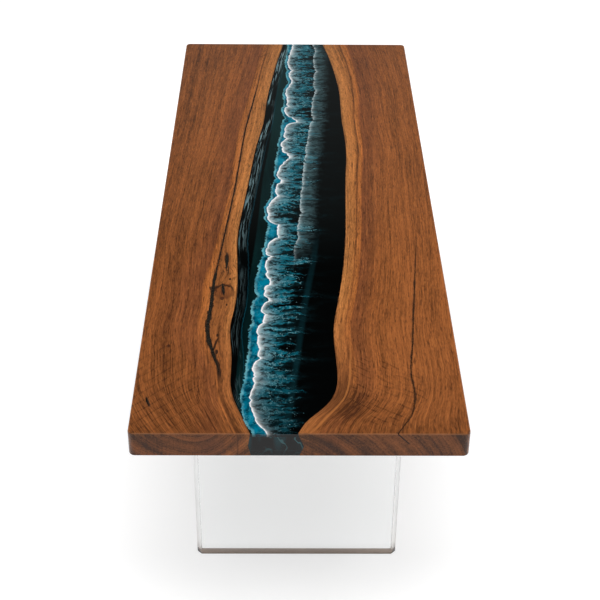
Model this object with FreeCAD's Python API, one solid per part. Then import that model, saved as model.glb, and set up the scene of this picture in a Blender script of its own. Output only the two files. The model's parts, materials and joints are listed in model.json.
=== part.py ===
import FreeCAD, Part
import math
import os

# A river dining table: two live-edge hardwood slabs joined by a resin river, on two clear panel legs.
# Millimetres. X runs across the table, Y along it and Z up. The origin is on the floor, under the centre.

# The top as a whole
TABLE_LENGTH = 2240.0
TABLE_WIDTH = 800.0
TABLE_HEIGHT = 750.0
TOP_THICKNESS = 68.0
TOP_CORNER_RADIUS = 15.0
TOP_EDGE_RADIUS = 4.0

# How far a cutting shape passes through its work, and the play round a turned piece in its hole
CUT_OVERRUN = 10.0
FIT_CLEARANCE = 0.2

# The resin river. Each row holds a place along the length, the live edge's place across the width on
# the top face, and how far the edge moves sideways from there at the waist and on the underside.
WAVE_POUR_THICKNESS = 10.0
WAIST_SHARE = 0.55
LEFT_EDGE_SHARES = (
    (-0.500, -0.143, -0.007, 0.003),
    (-0.468, -0.173, -0.006, 0.006),
    (-0.430, -0.203, 0.002, 0.010),
    (-0.370, -0.209, 0.008, 0.014),
    (-0.310, -0.219, 0.010, 0.012),
    (-0.260, -0.207, 0.004, 0.008),
    (-0.190, -0.206, -0.004, 0.006),
    (-0.110, -0.213, -0.006, 0.010),
    (-0.030, -0.198, 0.002, 0.016),
    (0.060, -0.178, 0.008, 0.020),
    (0.150, -0.156, 0.006, 0.014),
    (0.210, -0.135, -0.002, 0.006),
    (0.280, -0.125, -0.006, 0.004),
    (0.370, -0.102, 0.002, 0.010),
    (0.430, -0.083, 0.006, 0.012),
    (0.500, -0.055, 0.004, 0.006),
)
RIGHT_EDGE_SHARES = (
    (-0.500, -0.004, 0.018, 0.004),
    (-0.482, 0.018, 0.016, 0.000),
    (-0.455, 0.076, 0.008, -0.008),
    (-0.430, 0.109, 0.002, -0.012),
    (-0.390, 0.119, -0.004, -0.014),
    (-0.310, 0.114, -0.008, -0.012),
    (-0.260, 0.131, -0.004, -0.008),
    (-0.190, 0.154, 0.004, -0.006),
    (-0.110, 0.171, 0.006, -0.010),
    (-0.030, 0.179, 0.000, -0.016),
    (0.050, 0.187, -0.006, -0.018),
    (0.130, 0.197, -0.008, -0.012),
    (0.220, 0.188, -0.002, -0.006),
    (0.310, 0.186, 0.004, -0.008),
    (0.400, 0.166, 0.002, -0.012),
    (0.460, 0.143, -0.004, -0.010),
    (0.500, 0.124, -0.006, -0.006),
)

# Cracks and knots filled with black resin. Each row holds a place along the length, a place across
# the width and the share of the crack's full width that is open there.
SEAM_WIDTH = 11.0
SEAM_DEPTH = 16.0
SEAM_LEAN = -3.0
LEFT_SEAM_SHARES = (
    (-0.410, -0.243, 0.00),
    (-0.390, -0.247, 0.25),
    (-0.357, -0.270, 0.70),
    (-0.333, -0.286, 1.00),
    (-0.310, -0.293, 0.75),
    (-0.270, -0.288, 0.80),
    (-0.210, -0.283, 0.70),
    (-0.165, -0.273, 0.90),
    (-0.100, -0.259, 0.45),
    (0.020, -0.234, 0.30),
    (0.100, -0.222, 0.35),
    (0.190, -0.207, 0.45),
    (0.270, -0.185, 0.35),
    (0.380, -0.154, 0.00),
)
KNOT_WIDTH = 9.0
KNOT_DEPTH = 14.0
KNOT_LEAN = 0.0
UPPER_KNOT_SHARES = (
    (-0.192, -0.243, 0.00),
    (-0.166, -0.245, 1.00),
    (-0.145, -0.247, 0.00),
)
LOWER_KNOT_SHARES = (
    (-0.246, -0.246, 0.00),
    (-0.235, -0.249, 0.90),
    (-0.225, -0.252, 0.80),
    (-0.213, -0.258, 0.00),
)
SHORT_CHECK_WIDTH = 6.0
SHORT_CHECK_DEPTH = 10.0
SHORT_CHECK_LEAN = 2.0
SHORT_CHECK_SHARES = (
    (-0.456, -0.446, 0.00),
    (-0.446, -0.455, 1.00),
    (-0.438, -0.460, 0.00),
)
LONG_CHECK_WIDTH = 4.0
LONG_CHECK_DEPTH = 30.0
LONG_CHECK_LEAN = 28.0
LONG_CHECK_SHARES = (
    (-0.512, 0.268, 0.00),
    (-0.500, 0.286, 0.90),
    (-0.487, 0.306, 0.90),
    (-0.463, 0.338, 1.00),
    (-0.437, 0.349, 1.00),
    (-0.390, 0.347, 0.90),
    (-0.345, 0.361, 1.00),
    (-0.310, 0.370, 0.90),
    (-0.250, 0.386, 0.70),
    (-0.190, 0.402, 0.60),
    (-0.100, 0.425, 0.00),
)

# Hexagon bolts and nuts, countersunk screws and the threaded inserts that take them in the wood.
# Turned pieces and their holes are small and many, so they are drawn with flats, to stay light.
TURNED_SIDES = 12
HEXAGON_SIDES = 6
BOLT_DIAMETER = 8.0
BOLT_FLATS = 13.0
BOLT_HEAD_HEIGHT = 5.3
BOLT_HOLE_DIAMETER = 9.0
NUT_HEIGHT = 6.5
INSERT_DIAMETER = 12.0
INSERT_LENGTH = 20.0
COUNTERSINK_DIAMETER = 16.0

# Steel C-channels let into the underside, with their webs flush
STIFFENER_LENGTH = 640.0
STIFFENER_WIDTH = 40.0
STIFFENER_DEPTH = 20.0
STIFFENER_WALL = 4.0
STIFFENER_BEND_RADIUS = 2.5
STIFFENER_SPACING = 620.0
STIFFENER_PLAY = 0.5
STIFFENER_BOLT_MARGIN = 25.0
STIFFENER_BOLT_PITCH = 80.0
STIFFENER_SLOT_LENGTH = 16.0

# Clear acrylic leg panels on felt pads
PANEL_WIDTH = 564.0
PANEL_THICKNESS = 35.0
PANEL_SETBACK = 373.0
PANEL_CHAMFER = 12.0
FOOT_PAD_THICKNESS = 3.0

# Aluminium U-channels that hold the panels' upper edges, with their rubber liners
CHANNEL_WALL = 5.0
CHANNEL_BASE = 6.0
CHANNEL_DEPTH = 60.0
CHANNEL_EDGE_RADIUS = 1.5
CHANNEL_SCREW_MARGIN = 20.0
CHANNEL_SCREW_PITCH = 50.0
LINER_THICKNESS = 2.0
LINER_LIP = 1.5
CROSS_BOLT_SPACING = 380.0
CROSS_BOLT_DROP = 36.0

UNDERSIDE = TABLE_HEIGHT - TOP_THICKNESS
CHANNEL_LENGTH = PANEL_WIDTH - 2 * PANEL_CHAMFER
PANEL_TOP = UNDERSIDE - CHANNEL_BASE - LINER_THICKNESS
UP = FreeCAD.Vector(0, 0, 1)


def centred_box(x_size, y_size, bottom, top, x=0, y=0):
    """A block with its plan centred on x, y."""
    corner = FreeCAD.Vector(x - x_size / 2, y - y_size / 2, bottom)
    return Part.makeBox(x_size, y_size, top - bottom, corner)


def polygon(sides, flats, centre):
    """A level regular outline round centre, measured across its flats."""
    radius = flats / 2 / math.cos(math.pi / sides)
    turns = [2 * math.pi * (k + 0.5) / sides for k in range(sides + 1)]
    return Part.makePolygon(
        [centre + FreeCAD.Vector(math.cos(turn), math.sin(turn), 0) * radius for turn in turns]
    )


def prism(sides, flats, length, base, direction=UP):
    """A straight bar of regular section that goes from base along direction."""
    bar = Part.Face(polygon(sides, flats, FreeCAD.Vector())).extrude(UP * length)
    bar.Placement = FreeCAD.Placement(base, FreeCAD.Rotation(UP, direction))
    return bar


def rod(diameter, length, base, direction=UP):
    return prism(TURNED_SIDES, diameter, length, base, direction)


def countersink(base):
    """The taper of a flat screw head, from its full width at base up to the screw's shank."""
    height = (COUNTERSINK_DIAMETER - BOLT_DIAMETER) / 2
    wide = polygon(TURNED_SIDES, COUNTERSINK_DIAMETER, base)
    narrow = polygon(TURNED_SIDES, BOLT_DIAMETER, base + UP * height)
    return Part.makeLoft([wide, narrow], True, True)


def spline_edge(points):
    """A smooth curve through points that go along the table, its parameter the distance along."""
    curve = Part.BSplineCurve()
    curve.interpolate(Points=points, Parameters=[point.y for point in points])
    return curve.toShape()


def save(shape, node):
    shape.exportStep(f"parts/{node}.step")


def top_blank():
    """The finished outline of the top before it is divided into wood and resin."""
    blank = centred_box(TABLE_WIDTH, TABLE_LENGTH, UNDERSIDE, TABLE_HEIGHT)
    corners = [edge for edge in blank.Edges if edge.BoundBox.ZLength > TOP_THICKNESS / 2]
    blank = blank.makeFillet(TOP_CORNER_RADIUS, corners)
    arrises = [edge for edge in blank.Edges if edge.BoundBox.ZLength < TOP_THICKNESS / 2]
    return blank.makeFillet(TOP_EDGE_RADIUS, arrises)


def edge_place(row, height):
    """Where a live edge lies across the table at one height, going straight on past either face."""
    depth = TABLE_HEIGHT - height
    waist_depth = WAIST_SHARE * TOP_THICKNESS
    top_share, waist_shift, underside_shift = row[1:]
    if depth < waist_depth:
        shift = waist_shift * depth / waist_depth
    else:
        below_waist = (depth - waist_depth) / (TOP_THICKNESS - waist_depth)
        shift = waist_shift + (underside_shift - waist_shift) * below_waist
    return (top_share + shift) * TABLE_WIDTH


def live_edge(shares, height):
    """One live edge of the river at one height, run out straight past both ends of the top."""
    points = [FreeCAD.Vector(edge_place(row, height), row[0] * TABLE_LENGTH, height) for row in shares]
    near_slope = points[0] - points[1]
    far_slope = points[-1] - points[-2]
    near_end = points[0] + near_slope * (CUT_OVERRUN / abs(near_slope.y))
    far_end = points[-1] + far_slope * (CUT_OVERRUN / abs(far_slope.y))
    return spline_edge([near_end] + points + [far_end])


def river_section(height):
    """The closed plan of the river at one height."""
    left = live_edge(LEFT_EDGE_SHARES, height)
    right = live_edge(RIGHT_EDGE_SHARES, height)
    near = Part.makeLine(left.firstVertex().Point, right.firstVertex().Point)
    far = Part.makeLine(left.lastVertex().Point, right.lastVertex().Point)
    return Part.Wire([left, far, right, near])


def river_body():
    """The river as a ruled loft from above the top face, through the waist, to below the underside."""
    waist = TABLE_HEIGHT - WAIST_SHARE * TOP_THICKNESS
    heights = (TABLE_HEIGHT + CUT_OVERRUN, waist, UNDERSIDE - CUT_OVERRUN)
    return Part.makeLoft([river_section(height) for height in heights], True, True)


def crack(shares, width, depth, lean):
    """A jagged crack that drops from the top face and leans sideways as it goes down."""
    left = []
    right = []
    for along, across, open_share in shares:
        half = FreeCAD.Vector(open_share * width / 2, 0, 0)
        centre = FreeCAD.Vector(across * TABLE_WIDTH, along * TABLE_LENGTH, TABLE_HEIGHT)
        left.append(centre - half)
        right.append(centre + half)
    outline = Part.makePolygon(left + right[-2::-1])
    fall = FreeCAD.Vector(lean, 0, -depth)
    overrun = fall * (CUT_OVERRUN / depth)
    outline.translate(-overrun)
    return Part.Face(outline).extrude(fall + overrun)


def along_both_ways(end, margin, pitch):
    """Fixing places across the table: an outer and an inner one on each side."""
    outer = end - margin
    inner = outer - pitch
    return (-outer, -inner, inner, outer)


def hexagon_bolt(length, seat, direction):
    """A bolt whose hexagon head sits against seat, with its shank along direction."""
    top = seat - direction * BOLT_HEAD_HEIGHT
    head = prism(HEXAGON_SIDES, BOLT_FLATS, BOLT_HEAD_HEIGHT, top, direction)
    return head.fuse(rod(BOLT_DIAMETER, length, seat, direction))


def hexagon_nut(seat, direction):
    """A nut that bears on seat, bored with play for the bolt's plain end."""
    bore = rod(BOLT_DIAMETER + 2 * FIT_CLEARANCE, NUT_HEIGHT, seat, direction)
    return prism(HEXAGON_SIDES, BOLT_FLATS, NUT_HEIGHT, seat, direction).cut(bore)


def countersunk_screw(length, seat):
    """A flat-head screw that rises from seat, where its head is flush."""
    return countersink(seat).fuse(rod(BOLT_DIAMETER, length, seat))


def threaded_insert(base):
    """A threaded insert set into the wood, open at base."""
    bore = rod(BOLT_DIAMETER + 2 * FIT_CLEARANCE, INSERT_LENGTH, base)
    return rod(INSERT_DIAMETER, INSERT_LENGTH, base).cut(bore)


def insert_hole(base):
    return rod(INSERT_DIAMETER, INSERT_LENGTH, base)


def stiffener_places():
    return {"front": -STIFFENER_SPACING / 2, "rear": STIFFENER_SPACING / 2}


def stiffener_fixings(y, height):
    places = along_both_ways(STIFFENER_LENGTH / 2, STIFFENER_BOLT_MARGIN, STIFFENER_BOLT_PITCH)
    return [FreeCAD.Vector(x, y, height) for x in places]


def slot(centre):
    """A slotted hole along X through a stiffener's web, so that the wood can move."""
    straight = STIFFENER_SLOT_LENGTH - BOLT_HOLE_DIAMETER
    bottom = centre.z - CUT_OVERRUN
    top = centre.z + CUT_OVERRUN
    hole = centred_box(straight, BOLT_HOLE_DIAMETER, bottom, top, centre.x, centre.y)
    for side in (-1, 1):
        end = FreeCAD.Vector(centre.x + side * straight / 2, centre.y, bottom)
        hole = hole.fuse(rod(BOLT_HOLE_DIAMETER, top - bottom, end))
    return hole.removeSplitter()


def stiffener(y):
    """A folded C-channel, web down and flanges up."""
    outer = centred_box(STIFFENER_LENGTH, STIFFENER_WIDTH, UNDERSIDE, UNDERSIDE + STIFFENER_DEPTH, 0, y)
    bends = [
        edge for edge in outer.Edges
        if edge.BoundBox.XLength > STIFFENER_LENGTH / 2 and edge.BoundBox.ZMax < UNDERSIDE + STIFFENER_WALL
    ]
    outer = outer.makeFillet(STIFFENER_BEND_RADIUS, bends)
    inner = centred_box(
        STIFFENER_LENGTH + 2 * CUT_OVERRUN,
        STIFFENER_WIDTH - 2 * STIFFENER_WALL,
        UNDERSIDE + STIFFENER_WALL,
        UNDERSIDE + STIFFENER_DEPTH + CUT_OVERRUN,
        0,
        y,
    )
    channel = outer.cut(inner)
    for fixing in stiffener_fixings(y, UNDERSIDE):
        channel = channel.cut(slot(fixing))
    return channel


def stiffener_recess(y):
    """What is routed out of the underside: the web's shallow bed, two kerfs and the insert holes."""
    length = STIFFENER_LENGTH + 2 * STIFFENER_PLAY
    bed_top = UNDERSIDE + STIFFENER_WALL
    width = STIFFENER_WIDTH + 2 * STIFFENER_PLAY
    recess = centred_box(length, width, UNDERSIDE - CUT_OVERRUN, bed_top, 0, y)
    kerf_width = STIFFENER_WALL + 2 * STIFFENER_PLAY
    kerf_top = UNDERSIDE + STIFFENER_DEPTH + STIFFENER_PLAY
    for side in (-1, 1):
        kerf_y = y + side * (STIFFENER_WIDTH - STIFFENER_WALL) / 2
        recess = recess.fuse(centred_box(length, kerf_width, UNDERSIDE, kerf_top, 0, kerf_y))
    for fixing in stiffener_fixings(y, bed_top):
        recess = recess.fuse(insert_hole(fixing))
    return recess


def panel_outline(bottom, top, y):
    """The panel's plan, a bar with chamfered corners, drawn up between two heights."""
    blank = centred_box(PANEL_WIDTH, PANEL_THICKNESS, bottom, top, 0, y)
    corners = [
        edge for edge in blank.Edges
        if edge.BoundBox.XLength + edge.BoundBox.YLength < PANEL_CHAMFER
    ]
    return blank.makeChamfer(PANEL_CHAMFER, corners)


def leg_places():
    reach = TABLE_LENGTH / 2 - PANEL_SETBACK - PANEL_THICKNESS / 2
    return {"front": -reach, "rear": reach}


def channel_fixings(y, height):
    places = along_both_ways(CHANNEL_LENGTH / 2, CHANNEL_SCREW_MARGIN, CHANNEL_SCREW_PITCH)
    return [FreeCAD.Vector(x, y, height) for x in places]


def cross_fixings(y):
    height = UNDERSIDE - CROSS_BOLT_DROP
    return [FreeCAD.Vector(side * CROSS_BOLT_SPACING / 2, y, height) for side in (-1, 1)]


def drilled_across(piece, y):
    """A leg's channel, liner or panel, drilled along Y for the cross bolts."""
    reach = PANEL_THICKNESS / 2 + LINER_THICKNESS + CHANNEL_WALL + CUT_OVERRUN
    start = FreeCAD.Vector(0, -reach, 0)
    along = FreeCAD.Vector(0, 1, 0)
    for place in cross_fixings(y):
        piece = piece.cut(rod(BOLT_HOLE_DIAMETER, 2 * reach, place + start, along))
    return piece


def leg_channel(y):
    """An inverted U that straddles the liner, with countersunk holes in its base."""
    inside = PANEL_THICKNESS + 2 * LINER_THICKNESS
    outside = inside + 2 * CHANNEL_WALL
    low = UNDERSIDE - CHANNEL_DEPTH
    base_low = UNDERSIDE - CHANNEL_BASE
    channel = centred_box(CHANNEL_LENGTH, outside, low, UNDERSIDE, 0, y)
    groove_length = CHANNEL_LENGTH + 2 * CUT_OVERRUN
    channel = channel.cut(centred_box(groove_length, inside, low - CUT_OVERRUN, base_low, 0, y))
    lips = [
        edge for edge in channel.Edges
        if edge.BoundBox.XLength > CHANNEL_LENGTH / 2 and edge.BoundBox.ZMax < base_low
        and abs(edge.CenterOfMass.y - y) > inside / 2 + CHANNEL_WALL / 2
    ]
    channel = channel.makeFillet(CHANNEL_EDGE_RADIUS, lips)
    for seat in channel_fixings(y, base_low):
        hole = rod(BOLT_HOLE_DIAMETER, CHANNEL_BASE + CUT_OVERRUN, seat)
        channel = channel.cut(hole.fuse(countersink(seat)))
    return drilled_across(channel, y)


def leg_liner(y):
    """A rubber U between the channel and the panel, showing as a lip under the channel's cheeks."""
    low = UNDERSIDE - CHANNEL_DEPTH - LINER_LIP
    liner = centred_box(
        CHANNEL_LENGTH, PANEL_THICKNESS + 2 * LINER_THICKNESS, low, UNDERSIDE - CHANNEL_BASE, 0, y
    )
    groove_length = CHANNEL_LENGTH + 2 * CUT_OVERRUN
    liner = liner.cut(centred_box(groove_length, PANEL_THICKNESS, low - CUT_OVERRUN, PANEL_TOP, 0, y))
    return drilled_across(liner, y)


def leg_panel(y):
    """A clear panel from its pad up to the liner, drilled for the cross bolts."""
    return drilled_across(panel_outline(FOOT_PAD_THICKNESS, PANEL_TOP, y), y)


def cross_bolts_and_nuts(y, outward):
    """The bolts through one leg's channel, with their heads outward, which is -1 or 1 along Y."""
    cheek = PANEL_THICKNESS / 2 + LINER_THICKNESS + CHANNEL_WALL
    inward = FreeCAD.Vector(0, -outward, 0)
    bolts = []
    nuts = []
    for place in cross_fixings(y):
        bolts.append(hexagon_bolt(2 * cheek + NUT_HEIGHT, place - inward * cheek, inward))
        nuts.append(hexagon_nut(place + inward * cheek, inward))
    return bolts, nuts


def build_top():
    """The slabs, the two pours and the filled cracks, with their beds for the hardware."""
    blank = top_blank()
    river = river_body()
    left, right = sorted(blank.cut(river).Solids, key=lambda solid: solid.CenterOfMass.x)
    pour = blank.common(river)
    wave_bottom = TABLE_HEIGHT - WAVE_POUR_THICKNESS
    wave_layer = centred_box(
        TABLE_WIDTH + 2 * CUT_OVERRUN,
        TABLE_LENGTH + 2 * CUT_OVERRUN,
        wave_bottom,
        TABLE_HEIGHT + CUT_OVERRUN,
    )
    pieces = {
        "left_wood_slab": left,
        "right_wood_slab": right,
        "river_base_pour": pour.cut(wave_layer),
        "river_wave_pour": pour.common(wave_layer),
    }

    left_cracks = [
        crack(LEFT_SEAM_SHARES, SEAM_WIDTH, SEAM_DEPTH, SEAM_LEAN),
        crack(UPPER_KNOT_SHARES, KNOT_WIDTH, KNOT_DEPTH, KNOT_LEAN),
        crack(LOWER_KNOT_SHARES, KNOT_WIDTH, KNOT_DEPTH, KNOT_LEAN),
        crack(SHORT_CHECK_SHARES, SHORT_CHECK_WIDTH, SHORT_CHECK_DEPTH, SHORT_CHECK_LEAN),
    ]
    right_cracks = [crack(LONG_CHECK_SHARES, LONG_CHECK_WIDTH, LONG_CHECK_DEPTH, LONG_CHECK_LEAN)]
    for side, cracks in (("left", left_cracks), ("right", right_cracks)):
        slab = pieces[f"{side}_wood_slab"]
        fills = [solid for tool in cracks for solid in slab.common(tool).Solids]
        pieces[f"{side}_crack_fills"] = Part.Compound(fills)
        for tool in cracks:
            slab = slab.cut(tool)
        pieces[f"{side}_wood_slab"] = slab

    beds = [stiffener_recess(y) for y in stiffener_places().values()]
    for y in leg_places().values():
        beds.extend(insert_hole(base) for base in channel_fixings(y, UNDERSIDE))
    for node in ("left_wood_slab", "right_wood_slab", "river_base_pour"):
        for bed in beds:
            pieces[node] = pieces[node].cut(bed)
    return pieces


def build_stiffeners():
    pieces = {}
    seat_height = UNDERSIDE + STIFFENER_WALL
    for place, y in stiffener_places().items():
        bolt_length = STIFFENER_WALL + INSERT_LENGTH
        bolts = [hexagon_bolt(bolt_length, seat, UP) for seat in stiffener_fixings(y, UNDERSIDE)]
        inserts = [threaded_insert(base) for base in stiffener_fixings(y, seat_height)]
        pieces[f"{place}_stiffener"] = stiffener(y)
        pieces[f"{place}_stiffener_bolts"] = Part.Compound(bolts)
        pieces[f"{place}_stiffener_inserts"] = Part.Compound(inserts)
    return pieces


def build_legs():
    pieces = {}
    for place, y in leg_places().items():
        bolts, nuts = cross_bolts_and_nuts(y, math.copysign(1, y))
        screw_length = CHANNEL_BASE + INSERT_LENGTH
        screw_seats = channel_fixings(y, UNDERSIDE - CHANNEL_BASE)
        screws = [countersunk_screw(screw_length, seat) for seat in screw_seats]
        inserts = [threaded_insert(base) for base in channel_fixings(y, UNDERSIDE)]
        pieces[f"{place}_leg_panel"] = leg_panel(y)
        pieces[f"{place}_leg_foot_pad"] = panel_outline(0, FOOT_PAD_THICKNESS, y)
        pieces[f"{place}_leg_channel"] = leg_channel(y)
        pieces[f"{place}_leg_channel_liner"] = leg_liner(y)
        pieces[f"{place}_leg_channel_screws"] = Part.Compound(screws)
        pieces[f"{place}_leg_channel_inserts"] = Part.Compound(inserts)
        pieces[f"{place}_leg_cross_bolts"] = Part.Compound(bolts)
        pieces[f"{place}_leg_cross_nuts"] = Part.Compound(nuts)
    return pieces


os.makedirs("parts", exist_ok=True)
for node, shape in {**build_top(), **build_stiffeners(), **build_legs()}.items():
    save(shape, node)
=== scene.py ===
# A river dining table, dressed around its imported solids. Metres: X across, Y along the table, Z up.

import json
import math
from types import SimpleNamespace

import bpy
from mathutils import Matrix, Vector


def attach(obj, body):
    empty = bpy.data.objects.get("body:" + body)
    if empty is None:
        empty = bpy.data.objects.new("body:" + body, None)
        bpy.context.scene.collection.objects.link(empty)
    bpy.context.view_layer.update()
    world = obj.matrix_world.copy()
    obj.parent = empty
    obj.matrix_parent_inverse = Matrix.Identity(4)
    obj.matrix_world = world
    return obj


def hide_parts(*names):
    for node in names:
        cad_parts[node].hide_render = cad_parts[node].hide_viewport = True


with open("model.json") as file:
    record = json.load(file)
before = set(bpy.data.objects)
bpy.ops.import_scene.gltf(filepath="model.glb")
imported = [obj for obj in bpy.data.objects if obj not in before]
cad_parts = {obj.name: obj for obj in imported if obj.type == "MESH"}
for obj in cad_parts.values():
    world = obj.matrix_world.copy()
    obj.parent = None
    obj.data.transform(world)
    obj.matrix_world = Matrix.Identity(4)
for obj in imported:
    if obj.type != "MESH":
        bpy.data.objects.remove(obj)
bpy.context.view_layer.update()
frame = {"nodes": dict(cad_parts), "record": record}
solids = frame["nodes"]


def box_of(node):
    """The lowest and the highest corner of a solid."""
    corners = [Vector(corner) for corner in solids[node].bound_box]
    return min(corners, key=sum), max(corners, key=sum)


def paint(red, green, blue):
    """A colour as it is read off a screen, 0 to 255, turned into light."""
    light = [
        share / 12.92 if share <= 0.04045 else ((share + 0.055) / 1.055) ** 2.4
        for share in (red / 255, green / 255, blue / 255)
    ]
    return (*light, 1.0)


def grey(level):
    """A grey as an amount of light."""
    return (level, level, level, 1.0)


# The top and the leg panels, as their solids give them
TOP_LOW = box_of("left_wood_slab")[0]
TOP_HIGH = box_of("right_wood_slab")[1]
TABLE_WIDTH = TOP_HIGH.x - TOP_LOW.x
TABLE_LENGTH = TOP_HIGH.y - TOP_LOW.y
TABLE_HEIGHT = TOP_HIGH.z
UNDERSIDE = TOP_LOW.z
HALF_WIDTH = TABLE_WIDTH / 2
HALF_LENGTH = TABLE_LENGTH / 2
PANEL_CHAMFER = 0.012
CHAMFER_START = box_of("front_leg_panel")[1].x - PANEL_CHAMFER

# The felt strips: how far they reach into the panel's foot, and how soft their edges are
FELT_BITE = 0.00025
FELT_SOFTNESS = 0.0005
FELT_EDGE_STEPS = 3

# Levels and edges where the finishes change
EDGE_EASE = 0.0036
EDGE_EASE_FULL = 0.0016
END_FACE_START = HALF_LENGTH - 0.004
END_FACE_FULL = HALF_LENGTH - 0.0015
STAIN_END = TABLE_HEIGHT - 0.025
STAIN_FULL = TABLE_HEIGHT - 0.010
POLISH_START = UNDERSIDE + 0.0005
POLISH_FULL = UNDERSIDE + 0.008
SANDED_END = UNDERSIDE + 0.0025
PATTERN_DEPTH = 0.012
POUR_LINE = UNDERSIDE + 0.017
THREADS_START = UNDERSIDE - 0.002
THREADS_FULL = TABLE_HEIGHT - 0.020
COLUMNS_START = UNDERSIDE - 0.006
COLUMNS_FULL = TABLE_HEIGHT - 0.008
CLEAR_FOOT = 0.010
SATIN_FOOT = 0.024

# Courses along the table, near end to far end: a share of the length, then a share of the width
LEFT_EDGE_SHARES = (
    (-0.500, -0.143), (-0.468, -0.173), (-0.430, -0.203), (-0.370, -0.209), (-0.310, -0.219),
    (-0.260, -0.207), (-0.190, -0.206), (-0.110, -0.213), (-0.030, -0.198), (0.060, -0.178),
    (0.150, -0.156), (0.210, -0.135), (0.280, -0.125), (0.370, -0.102), (0.430, -0.083), (0.500, -0.055),
)
RIGHT_EDGE_SHARES = (
    (-0.500, -0.004), (-0.482, 0.018), (-0.455, 0.076), (-0.430, 0.109), (-0.390, 0.119), (-0.310, 0.114),
    (-0.260, 0.131), (-0.190, 0.154), (-0.110, 0.171), (-0.030, 0.179), (0.050, 0.187), (0.130, 0.197),
    (0.220, 0.188), (0.310, 0.186), (0.400, 0.166), (0.460, 0.143), (0.500, 0.124),
)
SEAM_SHARES = (
    (-0.500, -0.200), (-0.410, -0.243), (-0.390, -0.247), (-0.357, -0.270), (-0.333, -0.286),
    (-0.310, -0.293), (-0.270, -0.288), (-0.210, -0.283), (-0.165, -0.273), (-0.100, -0.259),
    (0.020, -0.234), (0.100, -0.222), (0.190, -0.207), (0.270, -0.185), (0.380, -0.154), (0.500, -0.120),
)
CHECK_SHARES = (
    (-0.500, 0.286), (-0.487, 0.306), (-0.463, 0.338), (-0.437, 0.349), (-0.390, 0.347), (-0.345, 0.361),
    (-0.310, 0.370), (-0.250, 0.386), (-0.190, 0.402), (-0.100, 0.425), (0.500, 0.470),
)
GOLD_LINE_SHARES = (
    (-0.500, 0.030), (-0.484, 0.061), (-0.470, 0.085), (-0.4535, 0.116), (-0.433, 0.142), (-0.408, 0.155),
    (-0.371, 0.161), (-0.343, 0.165), (-0.300, 0.172), (0.500, 0.300),
)
CREST_SHARES = (
    (-0.500, -0.055), (-0.450, -0.105), (-0.400, -0.102), (-0.320, -0.080), (-0.240, -0.078),
    (-0.160, -0.058), (-0.080, -0.055), (0.000, -0.040), (0.080, -0.030), (0.200, 0.002), (0.340, 0.010),
    (0.500, 0.022),
)
SHALLOWS_SHARES = (
    (-0.500, -0.122), (-0.450, -0.160), (-0.400, -0.150), (-0.320, -0.142), (-0.220, -0.130),
    (-0.120, -0.100), (0.000, -0.082), (0.100, -0.066), (0.200, -0.046), (0.320, -0.030), (0.500, -0.020),
)
DEEP_SHARES = (
    (-0.500, -0.172), (-0.425, -0.191), (-0.310, -0.181), (-0.210, -0.165), (-0.080, -0.144),
    (0.050, -0.129), (0.160, -0.106), (0.300, -0.086), (0.420, -0.065), (0.500, -0.045),
)
SECOND_CREST_SHARES = (
    (-0.500, 0.000), (-0.125, 0.000), (-0.070, 0.014), (0.015, 0.026), (0.105, 0.041), (0.200, 0.064),
    (0.300, 0.080), (0.400, 0.090), (0.500, 0.085),
)
UNDERTOW_SHARES = (
    (-0.500, -0.040), (-0.420, -0.018), (-0.340, 0.002), (-0.270, 0.020), (-0.140, 0.061), (0.500, 0.150),
)

# Ovals seen from above: x, y, half width, half length
BURR = (-0.190, -0.47, 0.075, 0.24)
TRUNK_FORK = (0.205, -0.95, 0.15, 0.24)
EYE = (-0.1985, -0.523, 0.027, 0.034)
PIN_KNOT = (-0.328, -0.773, 0.004, 0.006)
SHORT_CHECK = (-0.361, -1.002, 0.0036, 0.021)
# Ovals of painted shade on the floor: under the table, and in front of it as seen in gloss
FLOOR_UNDER_TABLE = (0.0, 0.0, 0.98, 3.2)
FLOOR_IN_FRONT = (0.0, -2.1, 1.3, 1.2)

# Dark blots of bark round the knots and the seam, as ovals
BARK_BLOTS = (
    (-0.1965, -0.362, 0.0064, 0.034), (-0.1905, -0.424, 0.0018, 0.028), (-0.1841, -0.464, 0.0036, 0.007),
    (-0.2035, -0.520, 0.0034, 0.022), (-0.2015, -0.558, 0.0056, 0.008), (-0.1885, -0.588, 0.0028, 0.006),
    (-0.2060, -0.799, 0.0040, 0.010), (-0.2070, -0.727, 0.0030, 0.006),
)

# Soft clouds of tone in the wood: an oval, then the change of brightness
TONE_CLOUDS = (
    ((0.118, -0.995, 0.080, 0.125), -0.60),
    ((0.210, -0.900, 0.120, 0.160), 0.22),
    ((0.370, -0.800, 0.080, 0.300), 0.18),
    ((-0.170, -1.100, 0.120, 0.130), -0.36),
    ((0.250, -1.130, 0.340, 0.140), -0.38),
)

# Slanting marks: how far each leans aside per metre along the table, and where the split lies
SHORT_CHECK_LEAN = 0.277
SEAM_SPLIT_LEAN = 0.17
SEAM_SPLIT = (-0.2145, -0.79)

# A branch buried under the near left corner: its place, and its reach across as a share of that along
BURIED_BRANCH = (-0.345, -0.955)
BURIED_BRANCH_SHARE = 0.62

# Lines beside the river and the place along the table where the near left grain begins to flare
TRAIL_INLAND = 0.030
GOLD_SIDE = 0.0065
RILL_FROM_LEFT = 0.030
FLARE_START = -0.80

# The pith of each slab's tree: across the grain, then up
LEFT_PITH = (-0.30, 0.86)
RIGHT_PITH = (0.04, 0.58)

# Spacings of the wood's regular figures
FULL_TURN = 2 * math.pi
RIDGE_SPACING = 0.0085
RAY_SPACING = 0.036
CURL_SPACING = 0.019
RINGS_PER_METRE = 140.0

# How steeply the surf's arches fall from their crowns
ARCH_STEEPNESS = 1.55

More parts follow.
